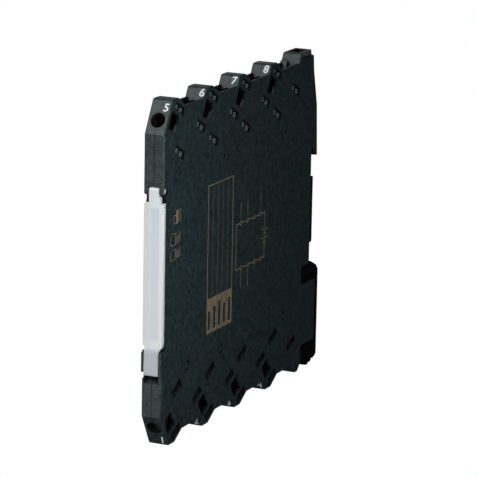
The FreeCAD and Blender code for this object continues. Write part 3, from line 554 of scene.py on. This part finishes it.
def inkStrips(strips):
    # each row is near, far, low and high of a strip: four corners under the film, then the same four on top
    near, far, low, high = np.asarray(strips, float).T
    y = np.tile(inkValues["startY"] + np.stack([near, far, far, near], -1), 2)
    z = np.tile(np.stack([low, low, high, high], -1), 2)
    corners = np.stack([np.broadcast_to(np.repeat(filmSpan, 4), y.shape), y, z], -1)
    slab = np.array([[4, 5, 6, 7], [3, 2, 1, 0], [0, 1, 5, 4], [1, 2, 6, 5], [2, 3, 7, 6], [3, 0, 4, 7]])
    faces = (slab[None] + 8 * np.arange(len(near))[:, None, None]).reshape(-1, 4)
    return corners.reshape(-1, 3), faces.tolist()


def inkRings(centres, radius, width, steps=24):
    # a square section carried round each centre: y goes with r times the cosine of the angle, z with its sine
    spots = np.asarray(centres, float)
    angle = np.linspace(0, 2 * np.pi, steps, endpoint=False)
    inner, outer = radius - width / 2, radius + width / 2
    r = np.array([inner, outer, outer, inner])
    y = inkValues["startY"] + spots[:, 0, None, None] + np.outer(np.cos(angle), r)
    z = spots[:, 1, None, None] + np.outer(np.sin(angle), r)
    points = np.stack([np.broadcast_to(np.repeat(filmSpan, 2), y.shape), y, z], -1)
    here = 4 * np.arange(steps)[:, None]
    onward = np.roll(here, -1)
    side = np.arange(4)[None, :]
    nextSide = (side + 1) % 4
    quads = np.stack([here + side, here + nextSide, onward + nextSide, onward + side], -1).reshape(-1, 4)
    faces = (quads[None] + 4 * steps * np.arange(len(spots))[:, None, None]).reshape(-1, 4)
    return points.reshape(-1, 3), faces.tolist()


def printedPiece(name, material, *shapes):
    # joins the shapes' vertices, in millimetres, and their faces into one mesh
    offset, points, faces = 0, [], []
    for vertices, polygons in shapes:
        points.append(vertices)
        faces += [[index + offset for index in polygon] for polygon in polygons]
        offset += len(vertices)
    mesh = bpy.data.meshes.new(name)
    mesh.from_pydata((np.concatenate(points) * mm).tolist(), [], faces)
    mesh.validate()
    mesh.update()
    addPiece(name, mesh, material)


# table: a frame, four thin inner lines, and a header of five tan bars, each with a dark gap along its middle
tableValues = {
    "near": 26.8, "far": 42.3, "low": -21.6, "headerTop": -11.8, "top": 20.0,
    "columns": 5,
    "outerLine": 0.36,
    "topLine": 0.28,
    "innerLines": (0.18, 0.32, 0.2, 0.28),
    "barSpace": 0.24,  # between two bars
    "gapWidth": 1.5,
    "gapFoot": 1.0,
    "gapLengths": (5.2, 6.1, 7.0, 5.65, 6.55),
}


def printTable(v):
    half, spare, gapHalf = v["outerLine"] / 2, v["barSpace"] / 2, v["gapWidth"] / 2
    underTop = v["top"] - v["topLine"]
    printedPiece("printTableFrame", tanInk, inkStrips([
        (v["near"] - half, v["near"] + half, v["headerTop"], v["top"]),
        (v["far"] - half, v["far"] + half, v["headerTop"], v["top"]),
        (v["near"] + half, v["far"] - half, underTop, v["top"]),
    ]))
    step = (v["far"] - v["near"]) / v["columns"]
    edges = [v["near"] + step * i for i in range(v["columns"] + 1)]
    inner = [(y - w / 2, y + w / 2, v["headerTop"], underTop) for y, w in zip(edges[1:-1], v["innerLines"])]
    printedPiece("printTableLines", thinTanInk, inkStrips(inner))
    # the outer bars reach to the outer edge of the frame's lines
    starts = [edges[0] - half] + [y + spare for y in edges[1:-1]]
    ends = [y - spare for y in edges[1:-1]] + [edges[-1] + half]
    header = []
    for near, far, length in zip(starts, ends, v["gapLengths"]):
        middle = (near + far) / 2
        low, high = v["low"] + v["gapFoot"], v["low"] + v["gapFoot"] + length
        header += [(near, middle - gapHalf, low, high), (middle + gapHalf, far, low, high)]
        header += [(near, far, v["low"], low), (near, far, high, v["headerTop"])]
    printedPiece("printHeader", tanInk, inkStrips(header))


printTable(tableValues)

# circuit sketch: two rows of rings between two uprights, leads out of some rings, and four strokes across the
# far upright
sketchValues = {
    "near": 44.7, "far": 63.4, "low": -7.4, "top": 5.5,
    "line": 0.3,
    "leadLine": 0.21,
    "topRings": (47.7, 52.0, 56.4, 60.6),
    "lowRings": (48.3, 52.7, 56.9, 61.0),
    "ringRadius": 0.62,
    "ringLine": 0.26,
    "ringSpace": 0.15,  # between a ring's middle line and the lines beside it
    "lead": (1.0, 6.0),
    "topLeads": (0, 1, 3),
    "lowLeads": (0, 1),
    "strokes": ((0.6, 2.2), (-0.6, 1.2), (-1.8, 2.2), (-3.0, 1.2)),  # height and half length
}


def printSketch(v):
    half, leadHalf = v["line"] / 2, v["leadLine"] / 2
    leadStart, leadEnd = v["lead"]
    clear = v["ringRadius"] + v["ringSpace"]
    lines = [(y - half, y + half, v["low"] - half, v["top"] + half) for y in (v["near"], v["far"])]
    for row, z in ((v["topRings"], v["top"]), (v["lowRings"], v["low"])):
        starts = [v["near"] + half] + [y + clear for y in row]
        ends = [y - clear for y in row] + [v["far"] - half]
        lines += [(start, end, z - half, z + half) for start, end in zip(starts, ends)]
    for y in (v["topRings"][i] for i in v["topLeads"]):
        lines.append((y - leadHalf, y + leadHalf, v["top"] + leadStart, v["top"] + leadEnd))
    for y in (v["lowRings"][i] for i in v["lowLeads"]):
        lines.append((y - leadHalf, y + leadHalf, v["low"] - leadEnd, v["low"] - leadStart))
    for z, reach in v["strokes"]:
        lines.append((v["far"] - reach, v["far"] + reach, z - half, z + half))
    centres = [(y, v["top"]) for y in v["topRings"]] + [(y, v["low"]) for y in v["lowRings"]]
    rings = inkRings(centres, v["ringRadius"], v["ringLine"])
    printedPiece("printSketch", tanInk, inkStrips(lines), rings)


printSketch(sketchValues)

# three small signs near the front, as plain strokes: a comb with a bracket, and two frames with a comb inside
signValues = {
    "line": 0.22,
    # near, low, far and high of each sign
    "comb": (5.7, 13.4, 10.1, 17.1),
    "frames": ((3.9, 7.7, 9.9, 10.95), (3.9, 3.7, 9.9, 6.6)),
    "combBar": (1.4, 2.6),  # from the near edge
    "combBracket": (0.1, 2.5),  # from the low edge
    "combTooth": (0.35, 0.53),
    "combStep": 0.62,
    "combTeeth": 6,
    "frameSide": (0.3, 0.4),  # how far each line of a frame stops short of the sign's edges
    "frameFoot": (0.3, 2.6),
    "frameHead": (1.2, 2.4),
    "innerStroke": (3.1, 2.8),  # from the far edge
    "outerStroke": (0.6, 0.35),
    "strokeRise": 0.5,
    "frameTooth": (0.4, 0.63),
    "frameToothSpan": (2.6, 0.9),
    "frameStep": 0.55,
    "frameTeeth": 4,
}


def combSign(v):
    near, low, far, high = v["comb"]
    start, end = (near + y for y in v["combBar"])
    foot, head = (low + z for z in v["combBracket"])
    strips = [(start, end, low, high), (near, near + v["line"], foot, head)]
    strips += [(near + v["line"], start, z, z + v["line"]) for z in (foot, head - v["line"])]
    for k in range(v["combTeeth"]):
        under, over = (low + z + v["combStep"] * k for z in v["combTooth"])
        strips.append((end, far, under, over))
    return strips


def frameSign(v, place):
    near, low, far, high = place
    line, rise = v["line"], v["strokeRise"]
    strips = [
        (near, near + line, low + v["frameSide"][0], high - v["frameSide"][1]),
        (near + v["frameFoot"][0], far - v["frameFoot"][1], low, low + line),
        (near + v["frameHead"][0], far - v["frameHead"][1], high - line, high),
        (far - v["innerStroke"][0], far - v["innerStroke"][1], low + rise, high - rise),
    ]
    start, end = (far - y for y in v["frameToothSpan"])
    for k in range(v["frameTeeth"]):
        under, over = (low + z + v["frameStep"] * k for z in v["frameTooth"])
        strips.append((start, end, under, over))
    strips.append((far - v["outerStroke"][0], far - v["outerStroke"][1], low + rise, high))
    return strips


signStrips = combSign(signValues)
for place in signValues["frames"]:
    signStrips += frameSign(signValues, place)
printedPiece("printSigns", tanInk, inkStrips(signStrips))
print("side print made")

# terminal numbers: bold sans figures, pad printed on every slanted face
numberValues = {
    "size": 3.1,
    "bold": 0.07,
    "slope": 0.1,
    "film": 0.03,
    # how far each upper figure sits across and up its face; the printing is a little uneven
    "places": {5: (1.5, 7.5), 6: (1.67, 8.25), 7: (1.33, 8.25), 8: (1.5, 8.2)},
    "lowPlace": (1.5, 8.1),
}


def terminalNumber(number, block, side, v):
    # a figure as a flat curve, made a mesh and laid on its slanted face, at its own height up the face, which
    # leans back by the slant above the middle and below it
    curve = bpy.data.curves.new("figure", "FONT")
    curve.body = str(number)
    curve.size = v["size"]
    curve.offset = v["bold"]
    curve.shear = v["slope"]
    curve.extrude = v["film"]
    curve.align_x = "CENTER"
    curve.align_y = "CENTER"
    holder = bpy.data.objects.new("figure", curve)
    bpy.context.scene.collection.objects.link(holder)
    mesh = bpy.data.meshes.new_from_object(holder.evaluated_get(bpy.context.evaluated_depsgraph_get()))
    bpy.data.objects.remove(holder)
    across, rise = v["places"].get(number, v["lowPlace"])
    y = device["frontY"] + block * device["pitch"] + rise * math.sin(slantAngle)
    z = device["slantFootZ"] + rise * math.cos(slantAngle)
    right = Vector((1, 0, 0))
    up = Vector((0, side * math.sin(slantAngle), math.cos(slantAngle)))
    turn = Matrix((right, up, right.cross(up))).transposed().to_4x4()
    turn.translation = (across, y, side * z)
    mesh.transform(Matrix.Scale(mm, 4) @ turn)
    mesh.name = "terminalNumber" + str(number)
    addPiece(mesh.name, mesh, whiteInk)


for block in range(4):
    terminalNumber(block + 1, block, -1, numberValues)
    terminalNumber(block + 5, block, 1, numberValues)
print("terminal numbers made")

# camera: a long lens in front, to the right and a little above, tilted as the photograph is
cameraValues = {
    "target": (0.0, -44.0, 0.0),
    "distance": 865.0,
    "azimuth": 25.12,
    "elevation": 13.25,
    "roll": 1.06,
    "lens": 234.26,
    "sensor": 36.0,
    "shift": (0.00503, 0.0004),
    "clip": (0.05, 20.0),
}


def addCamera(v):
    azimuth, elevation, roll = (math.radians(v[key]) for key in ("azimuth", "elevation", "roll"))
    flat = math.cos(elevation)
    back = Vector((math.sin(azimuth) * flat, -math.cos(azimuth) * flat, math.sin(elevation)))
    level = Vector((0, 0, 1)).cross(back).normalized()
    upright = back.cross(level)
    right = level * math.cos(roll) + upright * math.sin(roll)
    up = upright * math.cos(roll) - level * math.sin(roll)
    data = bpy.data.cameras.new("studioCamera")
    data.lens = v["lens"]
    data.sensor_width = v["sensor"]
    data.shift_x, data.shift_y = v["shift"]
    data.clip_start, data.clip_end = v["clip"]
    camera = bpy.data.objects.new("studioCamera", data)
    turn = Matrix((right, up, back)).transposed().to_4x4()
    turn.translation = (Vector(v["target"]) + back * v["distance"]) * mm
    camera.matrix_world = turn
    bpy.context.scene.collection.objects.link(camera)
    bpy.context.scene.camera = camera


addCamera(cameraValues)

# lamps, all turned to the middle of the device: a large soft box high at the front left, a small warm one low
# in front, a weak one high at the right, a near one at the front right that fades along the printed side, and
# a weak one behind that skims the tops
lampTarget = Vector((0, -0.048, 0))
lampValues = {
    "key": {"from": (-0.41, -0.71, 0.60), "away": 0.75, "size": 0.5, "watts": 3.7, "colour": "#ffffff"},
    "low": {"from": (-0.08, -0.96, -0.26), "away": 0.24, "size": 0.08, "watts": 0.1, "colour": "#ffe8d6"},
    "edgeHigh": {"from": (0.884, -0.26, 0.38), "away": 0.42, "size": 0.14, "watts": 0.06, "colour": "#f2f8ff"},
    "side": {"from": (0.72, -0.67, 0.16), "away": 0.125, "size": 0.06, "watts": 0.06, "colour": "#f2fbff"},
    "rear": {"from": (-0.41, 0.88, 0.25), "away": 0.6, "size": 0.3, "watts": 0.15, "colour": "#ffffff"},
}


def addLamp(name, v):
    direction = Vector(v["from"]).normalized()
    data = bpy.data.lights.new(name, "AREA")
    data.shape = "SQUARE"
    data.size = v["size"]
    data.energy = v["watts"]
    data.color = linearColour(v["colour"])[:3]
    lamp = bpy.data.objects.new(name, data)
    lamp.location = lampTarget + direction * v["away"]
    lamp.rotation_mode = "QUATERNION"
    lamp.rotation_quaternion = direction.to_track_quat("Z", "Y")
    bpy.context.scene.collection.objects.link(lamp)


for name, values in lampValues.items():
    addLamp(name + "Lamp", values)

# surround and floor: white to the camera, and dim in reflections so that dark plastic stays dark; the
# surround is white through clear parts too
roomValues = {
    "ambient": 0.1,
    "glossyShare": 0.05,
    "floorDropMm": 60.0,
    "floorMetres": 30.0,
    "floorGrey": "#606060",
}


def addSurround(v):
    world = bpy.data.worlds.new("studioRoom")
    bpy.context.scene.world = world
    world.use_nodes = True
    tree = world.node_tree
    rays = addNode(tree, "ShaderNodeLightPath")
    isGlossy = rays.outputs["Is Glossy Ray"]
    seen = addNode(tree, "ShaderNodeMath", {
        "operation": "ADD", "use_clamp": True,
    }, {0: rays.outputs["Is Camera Ray"], 1: rays.outputs["Is Transmission Ray"]})
    gloss = addNode(tree, "ShaderNodeMath", {"operation": "MULTIPLY", 1: v["glossyShare"]}, {0: isGlossy})
    notGlossy = addNode(tree, "ShaderNodeMath", {"operation": "SUBTRACT", 0: 1.0}, {1: isGlossy})
    diffuse = addNode(tree, "ShaderNodeMath", {"operation": "MULTIPLY", 1: v["ambient"]}, {0: notGlossy})
    other = addNode(tree, "ShaderNodeMath", {"operation": "ADD"}, {0: diffuse, 1: gloss})
    level = addNode(tree, "ShaderNodeMix", {"data_type": "FLOAT", 3: 1.0}, {0: seen, 2: other})
    background = tree.nodes["Background"]
    background.inputs["Color"].default_value = (1, 1, 1, 1)
    linkInputs(tree, background, {"Strength": level})


def addFloor(v):
    half = v["floorMetres"] / 2
    z = cadBox[0].z - v["floorDropMm"] * mm
    mesh = bpy.data.meshes.new("studioFloor")
    corners = [(-half, -half, z), (half, -half, z), (half, half, z), (-half, half, z)]
    mesh.from_pydata(corners, [], [(0, 1, 2, 3)])
    floor = bpy.data.objects.new("studioFloor", mesh)
    bpy.context.scene.collection.objects.link(floor)
    material, tree, shader, coords = newMaterial("whitePaperFloor", {
        "Roughness": 0.9, "Specular IOR Level": 0.1, "Base Color": linearColour(v["floorGrey"]),
    })
    rays = addNode(tree, "ShaderNodeLightPath")
    glow = addNode(tree, "ShaderNodeEmission", {"Color": (1, 1, 1, 1), "Strength": 1.0})
    dimGlow = addNode(tree, "ShaderNodeEmission", {"Color": (1, 1, 1, 1), "Strength": v["glossyShare"]})
    white = addNode(tree, "ShaderNodeMixShader", {}, {0: rays.outputs["Is Camera Ray"], 1: shader, 2: glow})
    mixed = addNode(tree, "ShaderNodeMixShader", {}, {0: rays.outputs["Is Glossy Ray"], 1: white, 2: dimGlow})
    linkInputs(tree, tree.nodes["Material Output"], {"Surface": mixed})
    mesh.materials.append(material)


addSurround(roomValues)
addFloor(roomValues)
bpy.context.scene.view_settings.view_transform = "Standard"
print("camera, lamps and room made")
